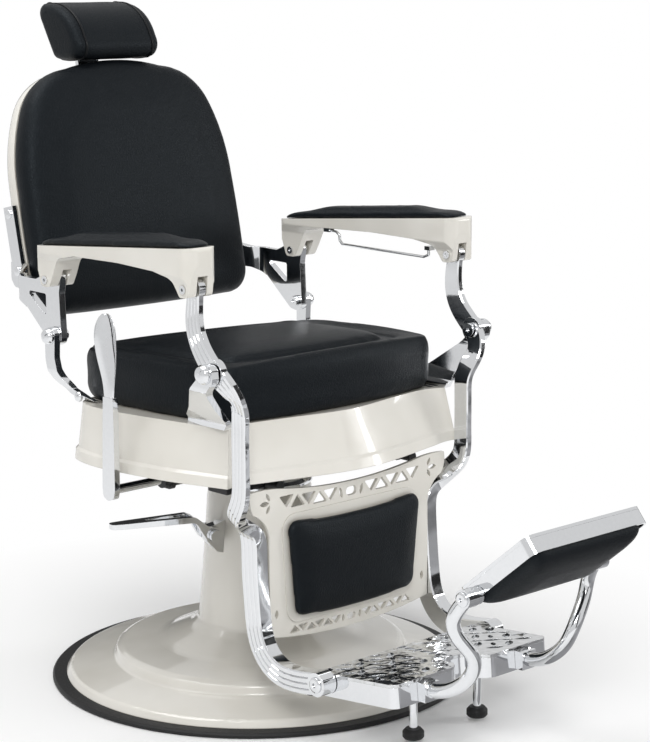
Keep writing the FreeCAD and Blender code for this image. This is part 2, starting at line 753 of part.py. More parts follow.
def foot_pad():
    x, y = 70, -428
    pad = turned([(0, 6), (14, 6), (16.5, 9), (16.5, 17, 1.5), (12, 22), (0, 22)])
    pad.translate(V(-x, y, 0))
    return pad


# Kick plate


def kick_place(shape):
    """Moves a piece drawn with x across, y along the plate and z through it onto the raised kick plate."""
    rise = math.radians(KICK_RISE)
    along = V(0, -math.cos(rise), math.sin(rise))
    through = V(0, -math.sin(rise), -math.cos(rise))
    turn = FreeCAD.Matrix(-1, 0, 0, 0, 0, along.y, through.y, 0, 0, along.z, through.z, 0, 0, 0, 0, 1)
    corner_at = V(0, KICK_PIN[0], KICK_PIN[1]) - along * 23 - through * 20
    moved = shape.transformGeometry(turn)
    moved.translate(corner_at)
    return moved


def kick_shell():
    w = KICK_HALF
    outer = slab_z([(-w, 0, 10), (w, 0, 10), (w, KICK_LEN, 16), (-w, KICK_LEN, 16)], (2.5, KICK_DEEP))
    inner = slab_z([(-w + 4, 4, 6), (w - 4, 4, 6), (w - 4, KICK_LEN - 4, 12), (-w + 4, KICK_LEN - 4, 12)],
                   (2, KICK_DEEP + 1))
    ring = kick_place(outer.cut(inner))
    lugs = [rod_x(13, sorted((s * (w - 4), s * (w + 5.4))), KICK_PIN) for s in (-1, 1)]
    body = join([ring] + lugs)
    return body.cut(rod_x(KICK_PIN_R + RUN, (-200, 200), KICK_PIN))


def kick_tread():
    w = KICK_HALF
    plate = slab_z([(-w, 0, 10), (w, 0, 10), (w, KICK_LEN, 16), (-w, KICK_LEN, 16)], (-2.5, 2.5))
    cutters = []
    for i in range(7):
        for j in range(4):
            x, y = (i - 3) * (w - 29) / 3, 28 + j * (KICK_LEN - 57) / 3
            side = 1 if (i + j) % 2 else -1
            cutters.append(lens(28, 11, side * 40, (x, y), 0))
            if j < 3:
                cutters.append(lens(18, 7, -side * 50, (x + 15 if i < 6 else x - 15, y + 18), 0))
    return kick_place(plate.cut(Part.makeCompound(cutters)))


def kick_pad():
    w = KICK_HALF - 5.8
    end = KICK_LEN - 6
    half = [(0, 9), ((60, 9), (w - 14, 10)), ((w - 5, 12), (w - 0.5, 24)),
            ((w, end / 2), (w - 0.5, end - 22)), ((w - 4, end - 7), (w - 18, end - 0.4)),
            ((60, end), (0, end))]
    wires = []
    for depth, inset in ((5, 0), (24, 0), (31, 3), (38, 11), (44, 28), (48, 54)):
        wires.append(outline(half, drawn_in(at_z(depth), inset, w, end / 2 + 4, end / 2 - 3)))
    return kick_place(loft(wires))


# Arms


def arm_mid(y):
    return -(ARM_MID_X - 0.0426 * y)


def arm_top(y):
    return ARM_TOP_MID - ARM_SLOPE * y


def arm_plan(half, rear, front, r):
    """Slanted plan of the right arm."""
    points = []
    for y, s in ((rear, 1), (rear, -1), (front, -1), (front, 1)):
        points.append((arm_mid(y) + s * half, y, r))
    return points


def lug_taper():
    """Front view of the right arm along its own line: full width on top, narrower cheeks below."""
    profile = [(-30, 760), (-30, 706, 8), (-25, 694, 8), (-25, 640), (22, 640), (22, 694, 8), (30, 708, 8),
               (30, 760)]
    shape = slab_y(profile, (-240, 260))
    shape.rotate(V(0, 0, 0), V(0, 0, 1), -ARM_SPLAY)
    shape.translate(V(-ARM_MID_X, 0, 0))
    return shape


def arm_casting():
    fy, fz = FRONT_LUG
    ry, rz = REAR_LUG
    side = [(ARM_REAR, arm_top(ARM_REAR), 5), (ARM_REAR, 690, 14), (ry + 18, rz + 10, 14),
            (ry + 11, rz - 11, 9), (ry - 11, rz - 11, 9), (ry - 22, rz + 8, 20), (150, 699, 20),
            (100, 709, 30), (-20, 711, 60), (-112, 708, 40), (-150, 701, 24), (fy + 17, fz - 2, 12),
            (fy + 9, fz - 13, 8), (fy - 11, fz - 12, 8), (fy - 14, fz + 10, 14), (ARM_FRONT, 722, 12),
            (ARM_FRONT, arm_top(ARM_FRONT), 6)]
    body = slab_x(side, (-330, -210)).common(slab_z(arm_plan(ARM_W / 2, ARM_REAR, ARM_FRONT, 20), (600, 800)))
    body = body.common(lug_taper())
    front_slot = box((arm_mid(fy) - 9.5, arm_mid(fy) + 9.5), (fy - 60, fy + 46), (fz - 40, fz + 19))
    rear_slot = box((arm_mid(ry) - 8.5, arm_mid(ry) + 8.5), (ry - 46, ry + 60), (rz - 40, rz + 17))
    body = body.cut(front_slot).cut(rear_slot)
    body = body.cut(rod_x(LUG_PIN_R, (-330, -210), FRONT_LUG))
    return body.cut(rod_x(LUG_PIN_R + RUN, (-330, -210), REAR_LUG))


def arm_pad():
    wires = []
    for h, side, end in ((0, 5, 8), (2, 4, 6), (6, 4, 12), (11, 7, 38), (16, 12, 80), (19, 19, 126)):
        half = ARM_W / 2 - side
        r = min(18, half - 1)
        plan = arm_plan(half, ARM_REAR - end, ARM_FRONT + end, r)
        wires.append(polygon(plan, lambda a, b: V(a, b, arm_top(b) + h)))
    return loft(wires)


def lug_pin(centre):
    """Lug pin with a socket head outside each cheek."""
    x = arm_mid(centre[0])
    ends = (x - 25.6, x + 22.6)
    body = rod_x(LUG_PIN_R, ends, centre)
    heads = [rod_x(6.5, (ends[0] - 1.8, ends[0]), centre), rod_x(6.5, (ends[1], ends[1] + 1.8), centre)]
    body = join([body] + heads)
    for end in ends:
        body = body.cut(rod_x(2.4, (end - 2, end + 2), centre) if end == ends[0]
                        else rod_x(2.4, (end + 0.5, end + 2), centre))
    return body


def towel_rail():
    """Bent rod under the left arm with two screwed feet."""
    path = [V(244, 92, 704.5), V(242, 72, 704), V(241, 63, 699), V(241, 62, 690), V(241, 56, 684),
            V(247, -134, 680), V(248, -144, 684), V(248, -144, 695)]
    radii = 2.3
    pieces = []
    for a, b in zip(path[:-1], path[1:]):
        pieces.append(rod(radii, a, b))
    for p in path[1:-1]:
        pieces.append(Part.makeSphere(radii, p))
    pieces.append(box((238, 250), (86, 100), (702, 708.4)))
    pieces.append(box((244, 256), (-150, -138), (692, 698.6)))
    return join(pieces)


# Back


def back_place(shape):
    """Moves a piece drawn upright, with y through the back and z up it, onto the leaning back."""
    shape.rotate(V(0, 0, 0), V(1, 0, 0), -BACK_LEAN)
    shape.translate(V(0, BACK_FOOT[0], BACK_FOOT[1]))
    return shape


def back_outline():
    """Right half of the back's outline, from the middle of its foot to the middle of its top."""
    w, h = BACK_HALF, BACK_H
    return [(0, 0), ((85, 0), (w - 45, 1)), ((w - 12, 13), (w - 2, 46)), ((w, 130), (w - 2, h - 213)),
            ((w - 11, h - 133), (w - 34, h - 69)), ((w - 65, h - 34), (w - 125, h - 13)),
            ((w - 173, h - 3), (0, h))]


def back_wire(y, inset):
    return outline(back_outline(), drawn_in(at_y(y), inset, BACK_HALF, BACK_H / 2, BACK_H / 2))


def back_cushion():
    levels = [(15, 5), (4, 0), (-10, 0), (-22, 4), (-30, 14), (-35, 34), (-38, 74)]
    return back_place(loft([back_wire(y, inset) for y, inset in levels]))


def clear_of_pins(body):
    for pin in strap_pins():
        body = body.cut(pin).cut(mirrored(pin))
    return body


def back_shell():
    outer = loft([back_wire(y, inset) for y, inset in ((15, 4), (34, 5), (44, 10), (50, 24))])
    inner = loft([back_wire(y, inset) for y, inset in ((14, 7.5), (34, 8.5), (41.5, 14), (46, 27))])
    return clear_of_pins(back_place(outer.cut(inner)))


def back_board():
    return clear_of_pins(back_place(loft([back_wire(15, 9), back_wire(27, 9)], True)))


STRAP_S = (60, 191)
STRAP_X = (220.5, 228.5)
STRAP_BOLTS = (83, 179)


def strap_pins():
    return [back_place(rod_x(4, (-STRAP_X[1], -208), (31, along))) for along in STRAP_BOLTS]


def bracket_neck():
    """Part of the bracket that sweeps outwards from the strap to the side plate."""
    b, a = BRACKET_X[1], BRACKET_X[0]
    out, inner = STRAP_X[1], STRAP_X[0]
    plan = [(-b, 268), (-b, 288, 16), (-out, 330, 12), (-out, 362), (-inner, 362), (-inner, 325, 8),
            (-a, 280, 16), (-a, 268)]
    side = [(266, 657), (300, 657, 20), (332, 668, 8), (361, 668), (361, 640, 10), (352, 628, 10),
            (296, 621, 20), (266, 607)]
    return slab_z(plan, (590, 700)).common(slab_x(side, (-280, -210)))


def back_bracket():
    a, b = BRACKET_X
    ly, lz = REAR_LUG
    py, pz = REAR_PIVOT
    plate = slab_x([(ly - 13, lz + 1, 10), (ly - 10, lz + 13, 10), (ly + 14, lz + 11, 10), (240, 656, 14),
                    (280, 657), (280, 620), (py + 15, pz - 14, 10), (py, pz - 17, 10), (py - 15, pz - 10, 10),
                    (py - 14, pz + 14, 10), (ly - 8, 640, 30)], (-b, -a))
    plate = plate.cut(slab_x([(213, 635, 4), (268, 636, 4), (213, 598, 4)], (-b - 1, -a + 1)))
    strap = back_place(box((-STRAP_X[1], -STRAP_X[0]), (18, 44), STRAP_S))
    body = join([plate, strap, bracket_neck()])
    for pin in strap_pins():
        body = body.cut(pin)
    body = body.cut(rod_x(LUG_PIN_R, (-300, -200), REAR_LUG))
    return body.cut(rod_x(PIVOT_PIN_R + RUN, (-300, -200), REAR_PIVOT))


def strap_bolts():
    bolts = []
    for pin, along in zip(strap_pins(), STRAP_BOLTS):
        head = back_place(turned_on([(0, 0), (8, 0), (8, 3, 1), (0, 4.5)], V(-STRAP_X[1], 31, along),
                                    V(-1, 0, 0)))
        bolts.append(join([pin, head]))
    return bolts


def headrest_guide():
    body = back_place(box((-34, 34), (50, 72), (BACK_H - 123, BACK_H - 51)))
    slot = back_place(box((-22.1, 22.1), (56 - 0.1, 64 + 0.1), (BACK_H - 133, BACK_H - 43)))
    return body.cut(slot)


def head_pin():
    """The y and z of the tilt pin, up the slope of the back."""
    spot = back_place(Part.Vertex(0, 65.4, BACK_H + HEAD_RISE)).Point
    return spot.y, spot.z


HEAD_RISE = 44.2
HEAD_PIN_R = 5.0
ROLL_HALF = 78.0


def headrest_bar():
    bar = back_place(box((-22, 22), (56, 64), (BACK_H - 223, BACK_H + HEAD_RISE - 33)))
    neck = back_place(box((-17, 17), (56, 64), (BACK_H + HEAD_RISE - 37, BACK_H + HEAD_RISE - 7)))
    barrel = rod_x(11, (-20, 20), head_pin())
    return join([bar, neck, barrel]).cut(rod_x(HEAD_PIN_R + RUN, (-40, 40), head_pin()))


def from_pin(a, b, x=0.0):
    """Point given by its distances forward of and above the tilt pin."""
    y, z = head_pin()
    return V(x, y - a, z + b)


def roll_wire(x, inset=0.0):
    """Side profile of the roll, shrunk about its middle by an inset."""
    ky, kz = 1 - inset / 46.0, 1 - inset / 49.0
    stops = [((35, -26), None, (-8, 47)), ((-8, 47), (-6, 64), (12, 68)), ((12, 68), (68, 55), (104, 12)),
             ((104, 12), (107, -15), (86, -25)), ((86, -25), (60, -27.5), (35, -26))]

    def place(spot):
        return from_pin(46 + (spot[0] - 46) * ky, 19 + (spot[1] - 19) * kz, x)

    edges = []
    for start, middle, end in stops:
        if middle is None:
            edges.append(line(place(start), place(end)))
        else:
            edges.append(arc(place(start), place(middle), place(end)))
    return Part.Wire(edges)


def headrest_cushion():
    r = ROLL_HALF
    steps = ((-r - 12, 15), (-r - 10, 7.5), (-r - 5, 2.5), (-r, 0.5), (-r + 6, 0), (0, 0), (r - 6, 0),
             (r, 0.5), (r + 5, 2.5), (r + 10, 7.5), (r + 12, 15))
    return loft([roll_wire(x, inset) for x, inset in steps])


def rear_face(a, b):
    """Point behind the flat rear of the roll: a along it from its low end, b out from it."""
    way = V(0, 43, 73).normalize()
    out = V(0, way.z, -way.y)
    return from_pin(35, -26) + way * a + out * b


def headrest_plate():
    corners = [rear_face(a, b) for a, b in ((6, 0.7), (76, 0.7), (76, 4), (6, 4))]
    half = ROLL_HALF - 20
    plate = Part.Face(Part.makePolygon(corners + corners[:1])).extrude(V(2 * half, 0, 0))
    plate.translate(V(-half, 0, 0))
    ears = []
    for s in (-1, 1):
        root = [rear_face(a, b) for a, b in ((18, 3), (60, 3), (50, 28), (28, 28))]
        flat = [(p.y, p.z, 6) for p in root]
        ears.append(slab_x(flat, sorted((s * 20.6, s * 27))))
    body = join([plate] + ears)
    return body.cut(rod_x(HEAD_PIN_R, (-40, 40), head_pin()))


def headrest_pin():
    pin = rod_x(HEAD_PIN_R, (-27, 27), head_pin())
    heads = [rod_x(9, sorted((s * 27, s * 31)), head_pin()) for s in (-1, 1)]
    return join([pin] + heads)


def build_base():
    save("base_casting", base_casting())
    save("base_rubber_rim", base_rubber_rim())
    save("base_plate", base_plate())
    save("hydraulic_cylinder", hydraulic_cylinder())
    save("cylinder_gland", cylinder_gland())
    save("piston_rod", piston_rod())
    save("thrust_washer", thrust_washer())
    block, pin = pump_block()
    save("pump_block", block)
    collars = pedal_collars()
    save("pump_pin", join([pin] + collars))
    save("pump_pedal", pump_pedal())


def build_seat():
    save("seat_apron", seat_apron())
    save("seat_subframe", seat_subframe())
    save("swivel_hub", swivel_hub())
    save_group("stop_bumpers", [stop_bumper()])
    save("seat_board", seat_board())
    save("seat_cushion", seat_cushion())
    save_pair("front_brace", front_brace())
    save_pair("rear_brace", rear_brace())
    save_group("front_pivot_pins", [pivot_bolt(FRONT_PIVOT, FRONT_EAR_X, POST_X[0] - PLAY, 15)])
    save_group("rear_pivot_pins", [pivot_bolt(REAR_PIVOT, REAR_EAR_X, BRACKET_X[0] - PLAY, 13)])
    save_group("rear_brace_bolts", [brace_bolt((132, 478), 263)])
    save("recline_housing", recline_housing())
    save("recline_lever", recline_lever())


def build_legs():
    save_pair("front_post", front_post())
    save_group("foot_bolts", [foot_bolt()])
    save("leg_panel", leg_panel())
    save("leg_pad", leg_pad())
    save("footplate_rim", footplate_rim())
    save("footplate_tread", footplate_tread())
    save_group("tube_sockets", [tube_socket()])
    save_pair("kick_tube", kick_tube())
    save_group("kick_pins", [kick_pin()])
    save_group("support_feet", [support_foot()])
    save_group("foot_pads", [foot_pad()])
    save("kick_shell", kick_shell())
    save("kick_tread", kick_tread())
    save("kick_pad", kick_pad())


def build_arms():
    save_pair("arm_casting", arm_casting())
    save_pair("arm_pad", arm_pad())
    save_pair("front_lug_pin", lug_pin(FRONT_LUG))
    save_group("rear_lug_pins", [lug_pin(REAR_LUG)])
    save("towel_rail", towel_rail())


def build_back():
    save("back_cushion", back_cushion())
    save("back_shell", back_shell())
    save("back_board", back_board())
    save_pair("back_bracket", back_bracket())
    save_group("strap_bolts", strap_bolts())
    save("headrest_guide", headrest_guide())
    save("headrest_bar", headrest_bar())
    save("headrest_plate", headrest_plate())
    save("headrest_pin", headrest_pin())
    save("headrest_cushion", headrest_cushion())


build_base()
build_seat()
build_legs()
build_arms()
build_back()
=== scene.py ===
import json
import math

import bmesh
import bpy
import numpy as np
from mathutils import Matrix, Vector


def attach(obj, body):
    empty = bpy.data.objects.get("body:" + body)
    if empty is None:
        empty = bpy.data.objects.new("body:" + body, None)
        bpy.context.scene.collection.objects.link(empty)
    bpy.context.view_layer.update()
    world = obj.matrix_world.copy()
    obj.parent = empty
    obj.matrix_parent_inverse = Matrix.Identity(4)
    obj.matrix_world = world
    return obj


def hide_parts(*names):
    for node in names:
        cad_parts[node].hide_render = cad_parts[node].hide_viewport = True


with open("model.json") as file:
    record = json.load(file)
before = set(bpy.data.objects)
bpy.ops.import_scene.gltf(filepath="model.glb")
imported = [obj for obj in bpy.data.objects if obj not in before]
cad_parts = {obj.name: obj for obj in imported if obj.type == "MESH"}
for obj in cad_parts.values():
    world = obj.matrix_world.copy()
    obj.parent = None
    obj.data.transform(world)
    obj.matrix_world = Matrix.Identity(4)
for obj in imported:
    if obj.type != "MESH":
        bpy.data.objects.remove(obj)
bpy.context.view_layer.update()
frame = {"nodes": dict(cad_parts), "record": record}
cad_nodes = frame["nodes"]

# Sizes and places in metres, and slopes, as in the part

SEAT_SEAM_Y = -0.150
SEAT_SEAM_Z = 0.5530
SEAT_LEAN = 0.020
SEAT_SIDE_X = 0.244
SEAT_MID_Y = -0.015
SEAT_HALF_Y = 0.189
SEAT_LEDGE_Z = 0.490
BACK_LEAN = math.radians(12.5)
BACK_FOOT = Vector((0, 0.294, 0.580))
BACK_SEAM_DEPTH = 0.009
WELT_X = 0.070
WELT_R = 0.0022
HEAD_BACK_WAY = (0.864, -0.504)
HEAD_BACK_AT = -0.1375
ARM_SLOPE = 0.082
ARM_TOP = 0.733
LEG_PAD_BACK_Y = -0.224
KICK_PIN_Y = -0.606
KICK_PIN_Z = 0.278
KICK_RISE = math.radians(39.2)
KICK_PIN_DEPTH = 0.020
KICK_SEAM_DEPTH = 0.026
FLOOR_GAP = 0.0006

# Steps that a cover is blown up in, and the depth of its deepest wrinkle

CLOTH_STEPS = 20
WRINKLE = 0.0008


# Shader values

class Flow:
    """One value running through a finish; arithmetic on it adds Math nodes."""

    def __init__(self, finish, socket):
        self.finish = finish
        self.socket = socket

    def combined(self, operation, first, second):
        return self.finish.node("ShaderNodeMath", {"operation": operation}, {0: first, 1: second})

    def __add__(self, other):
        return self.combined("ADD", self, other)

    __radd__ = __add__

    def __mul__(self, other):
        return self.combined("MULTIPLY", self, other)

    __rmul__ = __mul__


class Finish:
    """A material, or the world, built from nodes."""

    def __init__(self, name, holder=None):
        self.holder = holder or bpy.data.materials.new(name)
        self.holder.use_nodes = True
        self.tree = self.holder.node_tree
        self.tree.nodes.clear()

    def node(self, kind, settings, inputs, output=0):
        """Adds a node with its settings and its sockets' values or links, and gives one output."""
        made = self.tree.nodes.new(kind)
        for key, value in settings.items():
            setattr(made, key, value)
        for key, value in inputs.items():
            if isinstance(value, Flow):
                self.tree.links.new(value.socket, made.inputs[key])
            else:
                made.inputs[key].default_value = value
        return Flow(self, made.outputs[output]) if len(made.outputs) else None

    def place(self):
        return self.node("ShaderNodeTexCoord", {}, {}, "Object")

    def noise(self, scale, detail=3.0, roughness=0.5, where=None):
        return self.node("ShaderNodeTexNoise", {},
                         {"Vector": where or self.place(), "Scale": scale, "Detail": detail,
                          "Roughness": roughness})

    def cells(self, scale, feature="SMOOTH_F1", where=None):
        return self.node("ShaderNodeTexVoronoi", {"feature": feature},
                         {"Vector": where or self.place(), "Scale": scale})

    def between(self, amount, low, high):
        """Colour that goes from low to high as amount goes from 0 to 1."""
        return self.mixed(amount, (*low, 1), (*high, 1))

    def mixed(self, amount, first, second):
        return self.node("ShaderNodeMix", {"data_type": "RGBA"}, {0: amount, 6: first, 7: second}, 2)

    def spread(self, value, low, high, out_low=0.0, out_high=1.0):
        """Stretches a value's range from low and high to the outer two."""
        return self.node("ShaderNodeMapRange", {"clamp": True},
                         {"Value": value, "From Min": low, "From Max": high,
                          "To Min": out_low, "To Max": out_high})

    def rays(self, kind):
        """1 for rays of that kind, 0 for the others."""
        return self.node("ShaderNodeLightPath", {}, {}, f"Is {kind} Ray")

    def creviced(self, reach):
        """Ambient occlusion: 1 on open faces, falling to 0 far into grooves and corners; where it feeds a
        colour it paints shade.
        """
        return self.node("ShaderNodeAmbientOcclusion", {"samples": 16}, {"Distance": reach}, 1)

    def relief(self, height, depth, edge=0.0):
        """Bump of that depth in metres, over edges rounded by a small radius."""
        inputs = {"Height": height, "Distance": depth, "Strength": 1.0}
        if edge:
            inputs["Normal"] = self.node("ShaderNodeBevel", {"samples": 4}, {"Radius": edge})
        return self.node("ShaderNodeBump", {}, inputs)

    def surface(self, **inputs):
        """The finish's surface; an underscore in a socket's name stands for a space."""
        sockets = {key.replace("_", " "): value for key, value in inputs.items()}
        shader = self.node("ShaderNodeBsdfPrincipled", {}, sockets)
        self.node("ShaderNodeOutputMaterial", {}, {"Surface": shader})
        return self.holder


def cream_enamel():
    """Thick glossy stove enamel over cast iron, with painted shade in its crevices."""
    f = Finish("cream_enamel")
    flow = f.noise(9, 2)
    peel = f.noise(420, 2)
    # Random drift of the enamel's colour, times painted shade that darkens it in grooves, corners and
    # recesses
    tone = (f.spread(flow, 0.3, 0.7) * 0.3 + 0.7) * f.spread(f.creviced(0.010), 0.15, 0.8)
    colour = f.between(tone, (0.580, 0.550, 0.478), (0.790, 0.768, 0.712))
    return f.surface(Base_Color=colour, Roughness=f.spread(f.noise(35), 0.3, 0.7, 0.16, 0.24),
                     Coat_Weight=0.8, Coat_Roughness=0.03,
                     Normal=f.relief(flow * 0.6 + peel * 0.02, 0.0009, 0.0016))


def bright_chrome():
    """Polished plating over castings whose faces are slightly wavy, with painted shade in its grooves."""
    f = Finish("bright_chrome")
    wave = f.noise(17, 1.0)
    haze = f.noise(180, 4, 0.6)
    unshaded_plating = f.between(f.spread(haze, 0.35, 0.75), (0.80, 0.812, 0.830), (0.83, 0.842, 0.858))
    # Painted shade: the plating's colour turns dark grey in grooves, corners and recesses
    groove = f.spread(f.creviced(0.004), 0.25, 0.65)
    colour = f.mixed(groove, (0.16, 0.163, 0.168, 1), unshaded_plating)
    return f.surface(Base_Color=colour, Metallic=1.0, Roughness=f.spread(haze, 0.3, 0.8, 0.035, 0.075),
                     Normal=f.relief(wave, 0.0006, 0.0006))


def cast_chrome():
    """Plated openwork with a softly uneven cast surface, and painted shade in its holes and hollows."""
    f = Finish("cast_chrome")
    lumps = f.cells(46)
    wave = f.noise(40, 2)
    shade = f.spread(f.noise(90, 3), 0.3, 0.75)
    # Painted shade darkens the plating towards black in holes and hollows; the shade noise is a random
    # drift of tone, not light
    deep = f.spread(f.creviced(0.005), 0.3, 0.8) * (shade * 0.2 + 0.8)
    return f.surface(Base_Color=f.between(deep, (0.05, 0.052, 0.055), (0.80, 0.81, 0.82)), Metallic=1.0,
                     Roughness=f.spread(shade, 0.0, 1.0, 0.06, 0.14),
                     Normal=f.relief(lumps * 0.6 + wave, 0.0022, 0.001))


def black_leather():
    """Fine-grained upholstery leather: small cells with creases between them."""
    f = Finish("black_leather")
    where = f.place()
    stray = f.node("ShaderNodeTexNoise", {}, {"Vector": where, "Scale": 160.0, "Detail": 2.0}, "Color")
    bent = f.node("ShaderNodeVectorMath", {"operation": "ADD"}, {0: where, 1: stray})
    pebbles = f.cells(430, where=where)
    creases = f.cells(230, "DISTANCE_TO_EDGE", where)
    drift = f.noise(14, 3, where=bent)
    crease_mask = f.spread(creases, 0.0, 0.12)
    colour = f.between(f.spread(drift, 0.3, 0.75), (0.0036, 0.0046, 0.0060), (0.0062, 0.0076, 0.0096))
    rough = f.spread(drift, 0.3, 0.7, 0.40, 0.50) + crease_mask * -0.04
    height = pebbles * 0.55 + crease_mask * 0.35 + f.noise(1500, 2) * 0.15
    return f.surface(Base_Color=colour, Roughness=rough, Specular_IOR_Level=0.17,
                     Specular_Tint=(0.80, 0.92, 1.0, 1), Normal=f.relief(height, 0.00055))


def piping_leather():
    """Smoother leather wrapped round a cord."""
    f = Finish("piping_leather")
    grain = f.cells(800)
    colour = f.between(f.spread(grain, 0.0, 0.8), (0.0036, 0.0041, 0.0050), (0.0060, 0.0067, 0.0080))
    return f.surface(Base_Color=colour, Roughness=0.34, Specular_IOR_Level=0.2,
                     Normal=f.relief(grain, 0.0001))


def black_rubber():
    """Moulded rubber with a dull skin."""
    f = Finish("black_rubber")
    dust = f.noise(240, 5, 0.7)
    colour = f.between(f.spread(dust, 0.35, 0.75), (0.007, 0.007, 0.0075), (0.016, 0.016, 0.0165))
    return f.surface(Base_Color=colour, Specular_IOR_Level=0.35,
                     Roughness=f.spread(dust, 0.3, 0.7, 0.42, 0.62), Normal=f.relief(dust, 0.00012, 0.0015))


def dark_steel():
    """Black paint on welded steel."""
    f = Finish("dark_steel")
    skin = f.noise(300, 4, 0.6)
    colour = f.between(f.spread(skin, 0.3, 0.7), (0.010, 0.010, 0.011), (0.022, 0.022, 0.024))
    return f.surface(Base_Color=colour, Specular_IOR_Level=0.4,
                     Roughness=f.spread(skin, 0.3, 0.7, 0.32, 0.48), Normal=f.relief(skin, 0.0002, 0.001))


def bearing_bronze():
    """Turned bronze with fine rings round the column."""
    f = Finish("bearing_bronze")
    rings = f.node("ShaderNodeTexWave", {"wave_type": "RINGS", "rings_direction": "Z"},
                   {"Vector": f.place(), "Scale": 900.0}, 1)
    return f.surface(Base_Color=f.between(rings, (0.52, 0.36, 0.16), (0.64, 0.47, 0.24)), Metallic=1.0,
                     Roughness=0.3, Normal=f.relief(rings, 0.00005))


def plywood():
    """Bare birch board under the upholstery."""
    f = Finish("plywood")
    along_x = (3.0, 30.0, 30.0)
    stretched = f.node("ShaderNodeVectorMath", {"operation": "MULTIPLY"}, {0: f.place(), 1: along_x})
    grain = f.noise(4, 6, 0.6, stretched)
    colour = f.between(f.spread(grain, 0.3, 0.7), (0.40, 0.27, 0.15), (0.60, 0.45, 0.28))
    return f.surface(Base_Color=colour, Roughness=0.6, Normal=f.relief(grain, 0.0002))


def studio_floor():
    """Pale floor that keeps the shadow near the chair and fades to white further out."""
    f = Finish("studio_floor")
    tone = f.between(f.spread(f.noise(0.4, 1), 0.3, 0.7), (0.95, 0.95, 0.95), (0.96, 0.96, 0.96))
    plain = f.node("ShaderNodeBsdfPrincipled", {},
                   {"Base Color": tone, "Roughness": 0.6, "Specular IOR Level": 0.2})
    white = f.node("ShaderNodeEmission", {}, {"Color": (1, 1, 1, 1), "Strength": 1.0})
    away = f.node("ShaderNodeVectorMath", {"operation": "LENGTH"}, {0: f.place()}, 1)
    faded = (f.rays("Camera") + f.rays("Glossy") * 0.5) * f.spread(away, 0.38, 0.92)
    mixed = f.node("ShaderNodeMixShader", {}, {0: faded, 1: plain, 2: white})
    f.node("ShaderNodeOutputMaterial", {}, {"Surface": mixed})
    return f.holder


def plain_card(name, low, high):
    """Matt board whose grey drifts between two levels."""
    f = Finish(name)
    tone = f.between(f.spread(f.noise(2.0, 1), 0.3, 0.7), (low, low, low * 1.03), (high, high, high * 1.03))
    return f.surface(Base_Color=tone, Roughness=0.9)


FINISHES = {
    "cream_enamel": cream_enamel(),
    "bright_chrome": bright_chrome(),
    "black_leather": black_leather(),
    "black_rubber": black_rubber(),
    "dark_steel": dark_steel(),
    "bearing_bronze": bearing_bronze(),
    "plywood": plywood(),
}
LEATHER = FINISHES["black_leather"]
PIPING = piping_leather()


# Mesh helpers

def shown(name, mesh, body, finish):
    """New piece from a mesh, riding on a body unless it belongs to the studio."""
    thing = bpy.data.objects.new(name, mesh)
    bpy.context.scene.collection.objects.link(thing)
    mesh.materials.clear()
    mesh.materials.append(finish)
    if body:
        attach(thing, body)
    return thing


def frozen(thing):
    """Mesh of a thing with its modifiers worked in."""
    bpy.context.view_layer.update()
    seen = thing.evaluated_get(bpy.context.evaluated_depsgraph_get())
    return bpy.data.meshes.new_from_object(seen)


def worked(thing, kind, **settings):
    """Runs one modifier on a thing and keeps its result."""
    step = thing.modifiers.new(kind.lower(), kind)
    for key, value in settings.items():
        setattr(step, key, value)
    mesh = frozen(thing)
    thing.modifiers.clear()
    thing.data = mesh


def places(mesh):
    flat = np.empty(len(mesh.vertices) * 3)
    mesh.vertices.foreach_get("co", flat)
    return flat.reshape(-1, 3)


def directions(mesh):
    flat = np.empty(len(mesh.vertices) * 3)
    mesh.vertices.foreach_get("normal", flat)
    return flat.reshape(-1, 3)


def moved_to(mesh, points):
    mesh.vertices.foreach_set("co", np.ascontiguousarray(points, dtype=float).ravel())
    mesh.update()


def back_depth(points):
    """Depth through the leaning back, from its front face, for each point."""
    y = points[:, 1] - BACK_FOOT.y
    z = points[:, 2] - BACK_FOOT.z
    return y * math.cos(BACK_LEAN) - z * math.sin(BACK_LEAN)


# Upholstery

def upholstered(name, node, body, held, voxel, shrink, pressure, limit):
    """Cushion cover: the solid drawn in a little, then blown up as cloth between its seams."""
    cover = bpy.data.objects.new(name, cad_nodes[node].data.copy())
    bpy.context.scene.collection.objects.link(cover)
    worked(cover, "WELD", merge_threshold=0.00002)
    worked(cover, "REMESH", mode="VOXEL", voxel_size=voxel, use_smooth_shade=True)
    worked(cover, "SMOOTH", factor=0.5, iterations=3)
    start = places(cover.data) - directions(cover.data) * shrink
    moved_to(cover.data, start)
    pinned = held(start)
    swollen(cover, pinned, pressure, limit)
    worked(cover, "SUBSURF", levels=1, render_levels=1)
    cover.data.shade_smooth()
    cover.data.materials.clear()
    cover.data.materials.append(LEATHER)
    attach(cover, body)
    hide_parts(node)
    return cover


def softened(mesh, values, pinned, rounds):
    """Evens out one value per vertex over the mesh, keeping it at nothing where the cover is sewn."""
    ends = np.empty(len(mesh.edges) * 2, dtype=np.int32)
    mesh.edges.foreach_get("vertices", ends)
    a, b = ends.reshape(-1, 2).T
    count = len(mesh.vertices)
    shared = np.maximum(np.bincount(a, minlength=count) + np.bincount(b, minlength=count), 1)
    for _ in range(rounds):
        around = np.bincount(a, values[b], count) + np.bincount(b, values[a], count)
        values = np.where(pinned, 0.0, 0.5 * values + 0.5 * around / shared)
    return values


